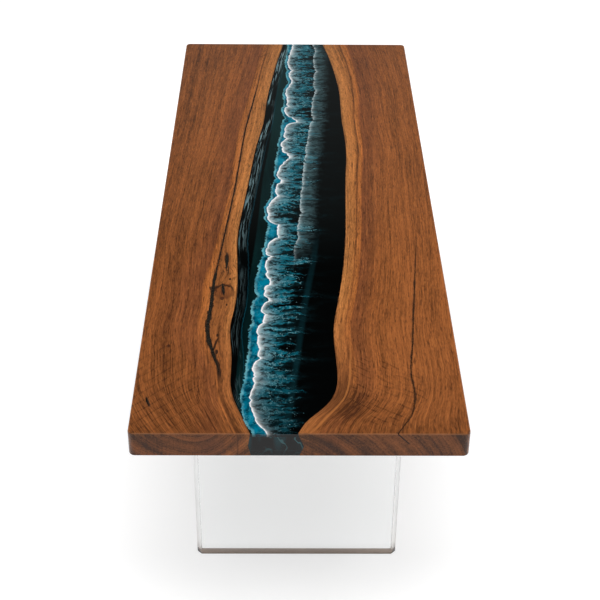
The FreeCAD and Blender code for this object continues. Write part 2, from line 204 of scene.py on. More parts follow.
# Lines in the wood: changes per metre across the grain and along it, detail, roughness
GRAIN_LINES = {
    "hairs": (520.0, 9.0, 2.0, 0.5),
    "grit": (430.0, 85.0, 2.0, 0.5),
    "dashes": (330.0, 32.0, 1.0, 0.5),
    "fibres": (230.0, 4.5, 3.0, 0.6),
    "streaks": (75.0, 0.9, 2.0, 0.5),
    "tone": (17.0, 0.5, 2.0, 0.5),
}

# Colours of the wood, from the river outwards: a place on the ramp, then a colour
WOOD_BANDS = (
    (0.00, paint(178, 115, 61)), (0.225, paint(168, 104, 52)), (0.262, paint(116, 66, 32)),
    (0.283, paint(174, 105, 52)), (0.345, paint(162, 94, 44)), (0.385, paint(112, 63, 34)),
    (0.58, paint(118, 67, 35)), (0.80, paint(134, 77, 38)), (1.00, paint(132, 76, 37)),
)
BANDS_TO_RAMP = 0.4

# Colours of marks in the wood
DULL_SAPWOOD = paint(136, 80, 41)
DULL_NEAR_END = paint(144, 84, 43)
PORE = paint(50, 26, 13)
PALE_FIBRE = paint(190, 118, 62)
LIVE_EDGE_BARK = paint(74, 42, 20)
SEAM_BARK = paint(24, 17, 12)
PIN_KNOT_BROWN = paint(46, 26, 17)
TRAIL_BROWN = paint(74, 40, 21)
GOLD = paint(188, 117, 60)
INSIDE_GOLD = paint(96, 53, 27)
BESIDE_GOLD = paint(98, 54, 27)
CHECK_BROWN = paint(38, 24, 15)
SHORT_CHECK_BROWN = paint(40, 33, 27)
BLOT_BROWN = paint(26, 18, 13)
BURR_BARK = paint(34, 20, 12)
EYE_BROWN = paint(112, 60, 30)
# A painted highlight for the eased edge round the top
EDGE_HIGHLIGHT = paint(176, 118, 78)

# Colours of the surf
BLACK_WATER = paint(1, 2, 2)
DEEP_DARK = paint(2, 18, 19)
DEEP_PALE = paint(7, 34, 35)
DEEP_FAR = paint(13, 48, 48)
GLINT = paint(132, 164, 170)
RILL = paint(8, 66, 80)
TEAL = paint(14, 108, 127)
TEAL_PIT = paint(1, 26, 32)
TEAL_SHADE = paint(3, 54, 64)
FOAM_WHITE = paint(176, 193, 195)
FOAM_TEAL = paint(62, 138, 152)
FOAM_THREAD = paint(134, 192, 201)
SECOND_VEIL = paint(92, 126, 132)
SECOND_LIP = paint(214, 228, 230)
UNDERTOW_TEAL = paint(18, 62, 70)
SHALLOWS_DARK = paint(0, 54, 72)
SHALLOWS_PALE = paint(0, 122, 150)
SHALLOWS_RIDGE = paint(60, 156, 176)
SHALLOWS_RIM = paint(122, 194, 204)
CREST_WHITE = paint(254, 255, 255)
DROP = paint(150, 200, 206)
SUNKEN = paint(4, 7, 7)

# The studio
FLOOR_SIZE = 80.0
FLOOR_MATTE = grey(0.42)
# How much the floor's glow drops in its painted shadow under the table and its painted shade in front, and
# where along the table the painted shadow fades out
SHADE_UNDER_TABLE = 0.39
SHADE_IN_FRONT = 0.42
SHADE_FADE_START = 0.72
SHADE_FADE_END = 1.16
WHITE = grey(1.0)
BLACK = grey(0.0)
# A faint painted glow for the acrylic's satin chamfers
CHAMFER_GLOW = grey(0.11)
ROOM_SHADES = (
    (0.0, grey(0.55)), (0.29, grey(0.5)), (0.37, (0.13, 0.14, 0.14, 1.0)), (0.50, (0.06, 0.07, 0.07, 1.0)),
    (0.54, grey(0.012)),
)

# Softboxes: name, place, what it faces, width, height, watts, whether gloss shows it
SOFTBOXES = (
    ("overhead softbox", (0.25, -0.25, 3.8), (0.0, -0.25, 0.7), 3.0, 3.4, 97.0, False),
    ("right softbox", (3.4, 0.2, 2.6), (0.0, 0.0, 0.6), 3.0, 2.0, 34.0, True),
    ("left softbox", (-3.4, 0.2, 2.6), (0.0, 0.0, 0.6), 3.0, 2.0, 22.0, True),
    ("front softbox", (0.0, -5.2, 1.1), (0.0, 0.0, 0.45), 3.6, 1.6, 22.0, True),
)

# The camera: its place in metres, its turns in degrees, its lens and sensor in millimetres
CAMERA_PLACE = (-0.032, -3.575, 2.780)
CAMERA_PITCH = 33.99
CAMERA_YAW = 0.71
CAMERA_ROLL = 0.57
CAMERA_LENS = 82.0
SENSOR_WIDTH = 36.0


class Field:
    """A number, colour or place that varies over a surface. Arithmetic on one adds Math nodes."""

    def __init__(self, finish, socket):
        self.finish = finish
        self.socket = socket

    def __add__(self, other):
        return self.finish.math("ADD", self, other)

    def __sub__(self, other):
        return self.finish.math("SUBTRACT", self, other)

    def __rsub__(self, other):
        return self.finish.math("SUBTRACT", other, self)

    def __mul__(self, other):
        return self.finish.math("MULTIPLY", self, other)

    def __truediv__(self, other):
        return self.finish.math("DIVIDE", self, other)

    __radd__ = __add__
    __rmul__ = __mul__


class Finish:
    """Lays and wires the nodes of one material or one group."""

    def __init__(self, tree):
        self.tree = tree

    def lay(self, kind, wires, output=0, **settings):
        """Lays one node with its settings, wires its inputs and gives one output."""
        node = self.tree.nodes.new("ShaderNode" + kind)
        for name, value in settings.items():
            setattr(node, name, value)
        for key, value in wires.items():
            self.wire(value, node.inputs[key])
        return Field(self, node.outputs[output])

    def wire(self, value, socket):
        """Links a field to a socket, or sets a plain value on it."""
        if isinstance(value, Field):
            self.tree.links.new(value.socket, socket)
        else:
            socket.default_value = value

    def math(self, operation, *values):
        return self.lay("Math", dict(enumerate(values)), operation=operation)

    def larger(self, first, second):
        return self.math("MAXIMUM", first, second)

    def smaller(self, first, second):
        return self.math("MINIMUM", first, second)

    def size(self, value):
        return self.math("ABSOLUTE", value)

    def waves(self, value, spacing, offset):
        """A sine wave with a spacing, shifted by an offset in radians."""
        return self.math("SINE", value * (FULL_TURN / spacing) + offset)

    def reach(self, first, second):
        """The straight distance that two offsets make."""
        return self.math("SQRT", first * first + second * second)

    def oval(self, across, along, x, y, half_width, half_length):
        """0 in the middle of an oval on the table, 1 on its outline."""
        return self.reach((across - x) / half_width, (along - y) / half_length)

    def near(self, across, along, oval):
        """1 in the middle of an oval on the table, fading to 0 at its outline."""
        return self.fall(self.oval(across, along, *oval), 0.1, 1.0)

    def scaled(self, colour, value):
        return self.lay("VectorMath", {"Vector": colour, "Scale": value}, operation="SCALE")

    def clamped(self, value):
        return self.lay("Clamp", {"Value": value})

    def decay(self, value, length):
        """1 at zero, dying away over length on the positive side."""
        return self.math("EXPONENT", self.larger(value, 0.0) / length * -1.0)

    def rise(self, value, start, end):
        """A smooth step from 0 at start to 1 at end."""
        wires = {"Value": value, "From Min": start, "From Max": end}
        return self.lay("MapRange", wires, interpolation_type="SMOOTHSTEP")

    def fall(self, value, start, end):
        """A smooth step from 1 at start to 0 at end."""
        wires = {"Value": value, "From Min": start, "From Max": end, "To Min": 1.0, "To Max": 0.0}
        return self.lay("MapRange", wires, interpolation_type="SMOOTHSTEP")

    def between(self, factor, first, second):
        """A number that goes from first to second with factor."""
        return self.lay("Mix", {0: factor, 2: first, 3: second}, data_type="FLOAT")

    def tint(self, factor, first, second):
        """A colour that goes from first to second with factor."""
        return self.lay("Mix", {0: factor, 6: first, 7: second}, 2, data_type="RGBA")

    def place(self, x, y, z):
        return self.lay("CombineXYZ", {0: x, 1: y, 2: z})

    def stretched(self, spot, rates):
        """A place whose three directions each have their own rate per metre."""
        return self.place(*(value * rate for value, rate in zip(spot, rates)))

    def noise(self, place, per_metre=1.0, detail=2.0, roughness=0.5):
        wires = {"Vector": place, "Scale": per_metre, "Detail": detail, "Roughness": roughness}
        return self.lay("TexNoise", wires)

    def streaked(self, spot, rates, detail=2.0, roughness=0.5):
        """Noise that changes at its own rate per metre in each direction."""
        return self.noise(self.stretched(spot, rates), 1.0, detail, roughness)

    def wander(self, place, per_metre, reach, detail=2.0):
        """A drift to either side, up to about reach."""
        return (self.noise(place, per_metre, detail) - 0.5) * (2 * reach)

    def cells(self, place, per_metre):
        return self.lay("TexVoronoi", {"Vector": place, "Scale": per_metre}, "Distance")

    def lobes(self, along, per_metre, offset):
        """A row of arches along the table, 1 at each crown and 0 where two arches meet."""
        steps = along * per_metre + offset
        reach = self.lay("TexVoronoi", {"W": steps, "Scale": 1.0}, "Distance", voronoi_dimensions="1D")
        reach = reach * ARCH_STEEPNESS
        return self.math("SQRT", self.larger(1.0 - reach * reach, 0.0))

    def ramp(self, value, stops):
        """A colour read off a row of stops."""
        node = self.tree.nodes.new("ShaderNodeValToRGB")
        self.wire(value, node.inputs[0])
        elements = node.color_ramp.elements
        while len(elements) < len(stops):
            elements.new(0.5)
        for element, (place, colour) in zip(elements, stops):
            element.position = place
            element.color = colour
        return Field(self, node.outputs[0])

    def course(self, along, shares):
        """How far across the table a course lies, for a place along it."""
        node = self.tree.nodes.new("ShaderNodeFloatCurve")
        self.wire(along * (1 / TABLE_LENGTH) + 0.5, node.inputs["Value"])
        points = node.mapping.curves[0].points
        while len(points) < len(shares):
            points.new(0.5, 0.5)
        for point, (along_share, across_share) in zip(points, shares):
            point.location = (along_share + 0.5, across_share + 0.5)
        node.mapping.update()
        return (Field(self, node.outputs[0]) - 0.5) * TABLE_WIDTH

    def object_place(self):
        return Field(self, self.tree.nodes.new("ShaderNodeTexCoord").outputs["Object"])

    def apart(self, place):
        """The three directions of a place."""
        node = self.tree.nodes.new("ShaderNodeSeparateXYZ")
        self.wire(place, node.inputs[0])
        return [Field(self, output) for output in node.outputs]

    def use(self, group, **wires):
        """Places a group and gives its outputs by name."""
        node = self.tree.nodes.new("ShaderNodeGroup")
        node.node_tree = group
        for name, value in wires.items():
            self.wire(value, node.inputs[name])
        return {output.name: Field(self, output) for output in node.outputs}

    def bump(self, height, strength, distance):
        return self.lay("Bump", {"Height": height, "Strength": strength, "Distance": distance})


def new_group(name, outputs):
    """An empty group that takes a place, with that place and a function that wires its outputs."""
    tree = bpy.data.node_groups.new(name, "ShaderNodeTree")
    tree.interface.new_socket("Place", in_out="INPUT", socket_type="NodeSocketVector")
    for label in outputs:
        tree.interface.new_socket(label, in_out="OUTPUT", socket_type="NodeSocketFloat")
    finish = Finish(tree)
    place = Field(finish, tree.nodes.new("NodeGroupInput").outputs["Place"])
    end = tree.nodes.new("NodeGroupOutput")

    def give(**fields):
        for label, field in fields.items():
            finish.wire(field, end.inputs[label])
        return tree

    return finish, place, give


def new_material(name, **sockets):
    """A material, its finish and its shader, with plain numbers set on the shader's own sockets."""
    material = bpy.data.materials.new(name)
    material.use_nodes = True
    finish = Finish(material.node_tree)
    shader = material.node_tree.nodes["Principled BSDF"]
    for label, value in sockets.items():
        shader.inputs[label.replace("_", " ")].default_value = value
    return material, finish, shader


def river_group():
    """Places on the table and the live edges of the river beside them."""
    finish, place, give = new_group("river places", ("Across", "Along", "Up", "Left", "Right", "Inland"))
    across, along, up = finish.apart(place)
    left = finish.course(along, LEFT_EDGE_SHARES)
    right = finish.course(along, RIGHT_EDGE_SHARES)
    inland = finish.larger(left - across, across - right)
    return give(Across=across, Along=along, Up=up, Left=left, Right=right, Inland=inland)


def cracks_group():
    """How far across the table the bark seam and the long check lie."""
    finish, place, give = new_group("crack courses", ("Seam", "Check"))
    along = finish.apart(place)[1]
    return give(Seam=finish.course(along, SEAM_SHARES), Check=finish.course(along, CHECK_SHARES))


def drawn_metal_group():
    """Fine drawing lines along the table's width, and slow clouds over them."""
    finish, place, give = new_group("drawn metal", ("Lines", "Cloud"))
    lines = finish.streaked(finish.apart(place), (14.0, 1600.0, 1600.0))
    return give(Lines=lines, Cloud=finish.noise(place, 16.0, 3.0))


RIVER = river_group()
CRACKS = cracks_group()
DRAWN_METAL = drawn_metal_group()


def places_at(finish, *groups):
    """The place of a spot on the table, and what each group says of it under its output's name."""
    at = SimpleNamespace(place=finish.object_place())
    for group in groups:
        for name, field in finish.use(group, Place=at.place).items():
            setattr(at, name.lower(), field)
    return at


def wood_grain(wood, at):
    """A number that changes across the grain, which follows the live edge and straightens outwards."""
    edge = wood.between(at.on_right, at.left + 0.128, at.right - 0.105)
    follow = wood.fall(at.inland, 0.0, 0.46) * 0.9 + 0.1
    grain = at.across - edge * follow
    for rates, drift in (((4.0, 1.1, 4.0), 0.009), ((24.0, 5.0, 24.0), 0.003)):
        grain = grain + wood.wander(wood.stretched((grain, at.along, at.up), rates), 1.0, drift)
    flare = wood.larger(FLARE_START - at.along, 0.0)
    grain = grain - flare * flare * at.on_left * wood.rise(at.inland, 0.02, 0.18) * 0.55
    return grain + wood.wander(at.place, 15.0, 0.016, 1.0) * at.burr


def sap_bands(wood, at):
    """0 at the river, rising to 1 at the outside of the coloured bands and on into the heartwood."""
    right_width = (at.along * 0.018 + 0.020) * at.along + 0.052
    width = wood.between(at.on_right, (at.left - at.seam) * 1.52, right_width)
    return at.inland / width + at.tone * 0.26 + at.streaks * 0.12 + at.blotch * 0.12


def wood_places(wood):
    """Where a spot of the wood lies, with the grain, the lines and the masks that its marks share."""
    at = places_at(wood, RIVER, CRACKS)
    spot = (at.across, at.along, at.up)
    at.on_right = wood.math("GREATER_THAN", at.across, (at.left + at.right) * 0.5)
    at.on_left = 1.0 - at.on_right
    at.ends = wood.rise(wood.size(at.along), END_FACE_START, END_FACE_FULL)
    at.off_ends = 1.0 - at.ends
    at.near_top = wood.rise(at.up, STAIN_END, STAIN_FULL)
    at.burr = wood.near(at.across, at.along, BURR)
    at.grain = wood_grain(wood, at)
    for name, (across_rate, along_rate, detail, roughness) in GRAIN_LINES.items():
        rates = (across_rate, along_rate, across_rate)
        lines = wood.streaked((at.grain, at.along, at.up), rates, detail, roughness)
        setattr(at, name, lines - 0.5)
    at.pores = wood.rise(at.dashes, 0.10, 0.20)
    at.blotch = wood.noise(at.place, 6.0) - 0.5
    at.bands = sap_bands(wood, at)
    at.rag = wood.streaked(spot, (150.0, 48.0, 150.0), 3.0) - 0.5
    at.fray = wood.streaked(spot, (90.0, 30.0, 60.0), 3.0, 0.65) - 0.5
    return at


def wood_tone(wood, at):
    """Golden sapwood at the river, an orange band, a dusky band, then plain heartwood."""
    colour = wood.ramp(at.bands * BANDS_TO_RAMP, WOOD_BANDS)
    inner_left = wood.fall(at.bands, 0.55, 0.75) * at.on_left * wood.rise(at.inland, 0.006, 0.022)
    inner_left = inner_left * wood.fall(at.along, -0.4, 0.1)
    colour = wood.tint(inner_left * 0.7, colour, DULL_SAPWOOD)
    darker_end = wood.fall(at.along, -0.9, -0.45) * wood.fall(at.bands, 0.8, 1.5)
    return wood.tint(darker_end * 0.75, colour, DULL_NEAR_END)


def growth_rings(wood, at):
    """Dark late wood and broad end bands round a pith above the left slab and below the right one."""
    pith = [wood.between(at.on_right, left, right) for left, right in zip(LEFT_PITH, RIGHT_PITH)]
    from_pith = wood.reach(at.grain - pith[0], at.up - pith[1])
    unevenness = wood.streaked((from_pith, at.along, 0.0), (26.0, 0.8, 1.0), 1.0)
    ring = from_pith * RINGS_PER_METRE + unevenness * 2.2
    ring_force = wood.lay("TexWhiteNoise", {"W": wood.math("FLOOR", ring)}, noise_dimensions="1D")
    ring = wood.math("FRACT", ring)
    late_wood = wood.rise(ring, 0.35, 0.93) * wood.fall(ring, 0.94, 1.0) * ring_force
    end_bands = (wood.streaked((from_pith, at.up, 0.0), (55.0, 6.0, 1.0)) - 0.5) * at.ends
    return end_bands * 3.4 - late_wood * (at.ends * 0.4 + 0.28)


def branch_figure(wood, at):
    """Ridges along the grain by a buried branch in the near left corner, with rays across them."""
    x, y = BURIED_BRANCH
    from_branch = wood.reach(at.across - x, (at.along - y) * BURIED_BRANCH_SHARE)
    figured = wood.fall(from_branch, 0.05, 0.19) * wood.noise(at.place, 11.0, 1.0)
    ridges = wood.waves(at.grain, RIDGE_SPACING, wood.wander(at.place, 16.0, 1.4))
    rays = wood.waves(at.across - at.along, RAY_SPACING, wood.wander(at.place, 12.0, 1.2))
    return (ridges * 0.34 - wood.rise(rays, 0.8, 1.0) * 0.6) * figured


def fork_figure(wood, at):
    """Cross ripple and short ladders of lines in the near right corner, where the trunk forked."""
    fork = wood.near(at.across, at.along, TRUNK_FORK) * wood.noise(at.place, 13.0, 1.0)
    crosswise = at.along * 0.80 + at.across * 0.6 + wood.wander(at.place, 10.0, 0.014)
    curl = wood.waves(crosswise, CURL_SPACING, 0.0) * fork
    ladder = wood.rise(curl, 0.10, 0.26) * wood.rise(wood.noise(at.place, 45.0, 1.0), 0.40, 0.54)
    return curl * 0.2 - fork * 0.05 - ladder * 0.46


def wood_light(wood, at):
    """How bright the wood is, with its lines, rings, figures, clouds of tone, and painted light on the
    right slab.
    """
    light = 1.06 + at.hairs * 1.9 + at.fibres * 1.5 + at.streaks * 1.1 + at.tone * 0.65 + at.blotch * 0.4
    light = light + at.grit * 1.5 * at.off_ends
    light = light + growth_rings(wood, at) + branch_figure(wood, at) + fork_figure(wood, at)
    # Partly the right slab's own paler tone and partly painted light from the right and front: brighter,
    # most at the near end, less on its end faces and in the sapwood by the river
    right_tone_and_light = wood.fall(at.along, -0.7, 0.0) * 0.12 + 0.13 - at.ends * 0.45
    right_tone_and_light = right_tone_and_light - wood.fall(at.bands, 0.7, 1.1) * 0.18
    light = light + at.ends * 0.12 + at.on_right * right_tone_and_light
    for oval, change in TONE_CLOUDS:
        light = light + wood.near(at.across, at.along, oval) * at.off_ends * change
    past_seam = wood.rise(at.bands, 0.92, 1.0) * wood.fall(at.bands, 1.3, 2.0) * at.on_left
    return wood.larger(light + past_seam * 0.16, 0.32)


def mark_pores(wood, at, colour):
    """Pores as short dark dashes, with paler fibres between them."""
    colour = wood.tint(at.pores * 0.55, colour, PORE)
    return wood.tint(wood.fall(at.dashes, -0.23, -0.10) * 0.35, colour, PALE_FIBRE)


def mark_live_edge(wood, at, colour):
    """The thin line of bark at the river."""
    bark = wood.fall(at.inland + at.rag * 0.004, 0.0004, 0.0026)
    return wood.tint(bark * 0.6, colour, LIVE_EDGE_BARK)


def mark_seam(wood, at, colour):
    """The stained bark seam, a split beside it, a pin knot and the trail from the seam to the near end."""
    tail = wood.rise(at.along, -0.93, -0.70)
    narrow = wood.rise(at.along, -0.50, -0.42)
    from_seam = wood.size(at.across - at.seam) + at.fray * (0.034 - narrow * 0.028) * tail
    seam_reach = wood.rise(at.along, -0.94, -0.88) * wood.fall(at.along, 0.60, 0.88)
    width = 0.0042 - narrow * 0.0030
    stain = wood.fall(from_seam, width, width + 0.0025) * seam_reach * at.near_top
    colour = wood.tint(stain * 0.9, colour, SEAM_BARK)
    x, y = SEAM_SPLIT
    from_split = wood.size(at.across - x - (at.along - y) * SEAM_SPLIT_LEAN + at.fray * 0.007)
    split_reach = wood.rise(at.along, -0.805, -0.79) * wood.fall(at.along, -0.745, -0.730)
    split = wood.fall(from_split, 0.0016, 0.0034) * split_reach * at.near_top
    colour = wood.tint(split * 0.9, colour, SEAM_BARK)
    pin_knot = wood.oval(at.across, at.along, *PIN_KNOT) + at.fray * 1.2
    colour = wood.tint(wood.fall(pin_knot, 0.7, 1.3) * 0.8, colour, PIN_KNOT_BROWN)
    from_trail = wood.size(at.inland - TRAIL_INLAND + (at.tone + at.fray) * 0.006)
    trail = wood.fall(from_trail, 0.0008, 0.0034) * wood.fall(at.along, -0.90, -0.84) * at.on_left
    return wood.tint(trail * 0.55, colour, TRAIL_BROWN)


def mark_gold_line(wood, at, colour):
    """A golden line between two dark ones, which turns with the near end of the right live edge."""
    from_gold = at.across - wood.course(at.along, GOLD_LINE_SHARES) + (at.tone + at.fray) * 0.004
    gold_reach = wood.fall(at.along, -0.86, -0.72) * at.on_right * at.off_ends
    inside = wood.fall(from_gold, -0.010, -0.002) * gold_reach
    inside = inside * wood.fall(at.along, -0.93, -0.80) * wood.rise(at.along, -1.08, -1.02)
    colour = wood.tint(inside * 0.5, colour, INSIDE_GOLD)
    beside = wood.fall(wood.size(wood.size(from_gold) - GOLD_SIDE), 0.001, 0.005) * gold_reach
    colour = wood.tint(beside * 0.42, colour, BESIDE_GOLD)
    width = wood.fall(at.along, -1.07, -0.98) * 0.0035 + 0.0036
    gold = wood.fall(wood.size(from_gold), 0.0010, width) * gold_reach
    return wood.tint(gold * (at.dashes * 0.5 + 0.60), colour, GOLD)


def mark_checks(wood, at, colour):
    """Stain along the long check, which runs on as a hairline, and round the short one."""
    opened = wood.fall(at.along, -0.6, -0.3)
    from_check = wood.size(at.across - at.check) + at.fray * (opened * 0.008 + 0.004)
    width = opened * 0.0008 + 0.0005
    stain = wood.fall(from_check, width, width * 3.0) * wood.fall(at.along, -0.26, -0.21)
    colour = wood.tint(stain * at.near_top * at.off_ends * 0.8, colour, CHECK_BROWN)
    leaning = at.across + (at.along - SHORT_CHECK[1]) * SHORT_CHECK_LEAN
    short_check = wood.oval(leaning, at.along, *SHORT_CHECK) + at.fray * 0.6
    return wood.tint(wood.fall(short_check, 0.75, 1.15) * at.near_top * 0.85, colour, SHORT_CHECK_BROWN)


def mark_burr(wood, at, colour):
    """Blots and specks of bark in the burr, and a bark-ringed eye beside the seam."""
    for oval in BARK_BLOTS:
        blot = wood.fall(wood.oval(at.across, at.along, *oval) + at.fray * 1.1, 0.75, 1.2) * at.near_top
        colour = wood.tint(blot * 0.9, colour, BLOT_BROWN)
    specks = wood.fall(wood.cells(wood.place(at.across, at.along * 0.6, at.up), 60.0), 0.12, 0.25)
    specks = specks * wood.rise(at.burr, 0.2, 0.6) * wood.rise(at.rag, -0.05, 0.05)
    colour = wood.tint(specks * 0.85, colour, BURR_BARK)
    eye = wood.oval(at.across, at.along, *EYE) + at.fray * 0.9
    eye_ring = wood.rise(eye, 0.66, 0.84) * wood.fall(eye, 0.92, 1.14)
    eye_ring = eye_ring * (wood.rise(at.along, -0.53, -0.505) * 0.7 + 0.3)
    colour = wood.tint(wood.fall(eye, 0.9, 1.3) * 0.5, colour, EYE_BROWN)
    return wood.tint(eye_ring * 0.9, colour, BURR_BARK)


def paint_edge_highlight(wood, at, colour):
    """A painted highlight: the eased edge round the top made a little paler."""
    outside = wood.larger(wood.size(at.across) - HALF_WIDTH, wood.size(at.along) - HALF_LENGTH)
    eased = wood.rise(outside, -EDGE_EASE, -EDGE_EASE_FULL)
    eased = eased * wood.rise(at.up, TABLE_HEIGHT - EDGE_EASE, TABLE_HEIGHT - EDGE_EASE_FULL)
    # The paler tint is a painted highlight where the edge would catch the light
    return wood.tint(eased * 0.6, colour, EDGE_HIGHLIGHT)


def hardwood():
    """Reddish-brown heartwood that turns golden beside the river, under a clear polished coat."""
    material, wood, shader = new_material(
        "oiled hardwood", Specular_IOR_Level=0.1, Coat_Roughness=0.05, Coat_IOR=1.42
    )
    at = wood_places(wood)
    colour = wood.scaled(wood_tone(wood, at), wood_light(wood, at))
    marks = (
        mark_pores, mark_live_edge, mark_seam, mark_gold_line, mark_checks, mark_burr, paint_edge_highlight,
    )
    for mark in marks:
        colour = mark(wood, at, colour)
    wood.wire(colour, shader.inputs["Base Color"])
    wood.wire(at.fibres * 0.2 + 0.42, shader.inputs["Roughness"])
    polished = wood.rise(at.up, POLISH_START, POLISH_FULL)
    wood.wire((0.66 - at.pores * 0.3) * polished, shader.inputs["Coat Weight"])
    wood.wire(wood.bump(at.fibres * 0.5 - at.pores * 0.6, 0.12, 0.0004), shader.inputs["Normal"])
    return material


def surf_places(resin):
    """Where a spot of the pour lies, and how far it is past each line of the surf."""
    at = places_at(resin, RIVER)
    at.crinkle = resin.noise(at.place, 85.0) - 0.5
    at.teeth = resin.noise(at.place, 210.0, 1.0) - 0.5
    at.uneven = at.along + resin.wander(at.place, 5.0, 0.06)
    at.wavy = at.along + at.crinkle * 0.014 + resin.wander(at.place, 17.0, 0.022)
    at.murk = resin.streaked((at.across, at.along, at.up), (30.0, 4.0, 18.0), 3.0)
    at.pits = resin.streaked((at.across, at.wavy, at.up), (52.0, 98.0, 70.0), 3.0, 0.6)
    swell = resin.streaked((0.0, at.along, 0.0), (1.0, 2.6, 1.0), 1.0)
    crest_line = resin.course(at.along, CREST_SHARES)
    crest_line = crest_line - resin.lobes(at.uneven, 6.2, 3.3) * (swell * 0.066 - 0.010)
    crest_line = crest_line - resin.lobes(at.uneven, 15.0, 11.7) * resin.noise(at.place, 9.0, 1.0) * 0.024
    crest_line = crest_line - resin.lobes(at.uneven, 41.0, 4.6) * 0.0035 + at.crinkle * 0.006
    at.past_crest = at.across - crest_line
    shallows_line = resin.course(at.along, SHALLOWS_SHARES) - resin.lobes(at.uneven, 10.0, 5.2) * 0.013
    shallows_line = shallows_line + at.crinkle * 0.012 + at.teeth * 0.010
    at.past_shallows = at.across - resin.smaller(shallows_line, crest_line - 0.012)
    at.past_deep = at.across - resin.course(at.along, DEEP_SHARES) + at.crinkle * 0.003
    return at


def dark_water(resin, at):
    """Dark water on the left, with glints and a rill under the live edge."""
    in_deep = resin.rise(at.past_deep, -0.002, 0.003) * resin.fall(at.past_crest, -0.02, 0.02)
    deep = resin.tint(resin.rise(at.murk, 0.3, 0.7), DEEP_DARK, DEEP_PALE)
    deep = resin.tint(resin.rise(at.along, -0.1, 0.7) * 0.5, deep, DEEP_FAR)
    water = resin.tint(in_deep, BLACK_WATER, deep)
    from_left = at.across - at.left
    streaky = resin.streaked((from_left, at.along, at.up), (260.0, 10.0, 60.0), 3.0, 0.6)
    patches = resin.streaked((from_left, at.along, 3.0), (26.0, 5.0, 1.0), 1.0)
    glints = resin.rise(streaky, 0.48, 0.58) * resin.rise(patches, 0.38, 0.54)
    glints = glints * resin.rise(from_left, 0.001, 0.005) * resin.fall(from_left, 0.012, 0.034)
    glints = glints * (resin.rise(at.along, -0.5, 0.2) * 0.8 + 0.12)
    water = resin.tint(glints * 0.9, water, GLINT)
    rill = resin.fall(resin.size(from_left - RILL_FROM_LEFT + at.crinkle * 0.006), 0.0004, 0.0022)
    return resin.tint(rill * patches * 0.8, water, RILL)


def lay_backwash(resin, at, water):
    """Plumes of foam to the right of the crest, over teal that breaks into fingers."""
    behind = resin.rise(at.past_crest, -0.001, 0.001)
    spent = resin.rise(at.along, -HALF_LENGTH, -0.80) * 0.7 + 0.3
    plumes = resin.streaked((at.past_crest, at.along, 0.0), (7.0, 21.0, 1.0))
    combed = resin.streaked((at.past_crest, at.wavy, at.up), (15.0, 74.0, 20.0), 3.0, 0.62)
    fingers = resin.streaked((at.across, at.wavy, at.up), (9.0, 80.0, 9.0), 3.0, 0.6)
    flood = resin.rise(fingers + (plumes - 0.5) * 0.5 - at.past_crest * 3.6, 0.20, 0.33) * behind * spent
    teal = resin.tint(resin.rise(at.pits, 0.42, 0.60), TEAL, TEAL_PIT)
    teal = resin.tint(resin.rise(plumes, 0.45, 0.62) * 0.35, teal, TEAL_SHADE)
    water = resin.tint(flood * 0.9, water, teal)
    holes = resin.rise(at.pits, 0.47, 0.58) * resin.rise(at.past_crest, 0.003, 0.012)
    foam_reach = resin.larger(plumes * 0.086 - 0.018, 0.006)
    foam = resin.decay(at.past_crest, foam_reach) * (combed * 2.5 - 0.55) * (1.0 - holes * 0.85) * behind
    foam_colour = resin.tint(resin.rise(at.past_crest, 0.008, 0.05), FOAM_WHITE, FOAM_TEAL)
    water = resin.tint(resin.clamped(foam * spent), water, foam_colour)
    threads = resin.fall(resin.size(resin.noise(at.place, 62.0, 3.0, 0.6) - 0.5), 0.0, 0.03)
    threads = threads * resin.rise(at.past_crest, 0.004, 0.014) * flood * resin.rise(combed, 0.40, 0.54)
    return resin.tint(threads * 0.7, water, FOAM_THREAD)


def lay_second_crest(resin, at, water):
    """A lower second crest in the far half and a straight undertow in the near half."""
    past_second = at.across - resin.course(at.along, SECOND_CREST_SHARES) + at.crinkle * 0.012
    past_second = past_second + resin.lobes(at.uneven, 11.0, 7.4) * 0.008
    second_reach = resin.rise(at.along, -0.42, -0.18) * resin.rise(past_second, -0.001, 0.0015)
    comb = resin.streaked((past_second, at.wavy, at.up), (14.0, 60.0, 20.0), 3.0, 0.6)
    veil = resin.decay(past_second, 0.042) * resin.clamped(comb * 2.6 - 0.6) * second_reach
    veil = veil * resin.fall(past_second + (at.pits - 0.5) * 0.05, 0.024, 0.060)
    veil = veil * (resin.fall(at.pits, 0.44, 0.62) * 0.55 + 0.45)
    water = resin.tint(veil * 0.8, water, SECOND_VEIL)
    lip = resin.decay(past_second, 0.0036) * second_reach * resin.rise(comb, 0.34, 0.56)
    water = resin.tint(lip, water, SECOND_LIP)
    from_undertow = resin.size(at.across - resin.course(at.along, UNDERTOW_SHARES) + at.crinkle * 0.004)
    undertow = resin.fall(from_undertow, 0.003, 0.012) * resin.fall(at.along, -0.35, -0.2) * at.murk
    return resin.tint(undertow * 0.45, water, UNDERTOW_TEAL)


def lay_shallows(resin, at, water):
    """The shallows to the left of the crest, with dark folds and a pale toothed rim."""
    folds = resin.streaked((at.across, at.along, at.up), (46.0, 26.0, 40.0))
    shallows = resin.tint(resin.rise(folds, 0.34, 0.64), SHALLOWS_DARK, SHALLOWS_PALE)
    ridges = resin.fall(resin.size(resin.noise(at.place, 34.0, 3.0, 0.65) - 0.5), 0.0, 0.045)
    shallows = resin.tint(ridges * 0.42, shallows, SHALLOWS_RIDGE)
    rim = resin.fall(at.past_shallows + at.teeth * 0.006 - folds * 0.009, -0.004, 0.004)
    rim = rim * (resin.rise(resin.noise(at.place, 20.0, 1.0), 0.38, 0.62) * 0.65 + 0.35)
    shallows = resin.tint(rim * 0.78, shallows, SHALLOWS_RIM)
    in_shallows = resin.rise(at.past_shallows, -0.0012, 0.0012) * resin.fall(at.past_crest, -0.002, 0.0005)
    return resin.tint(in_shallows, water, shallows)


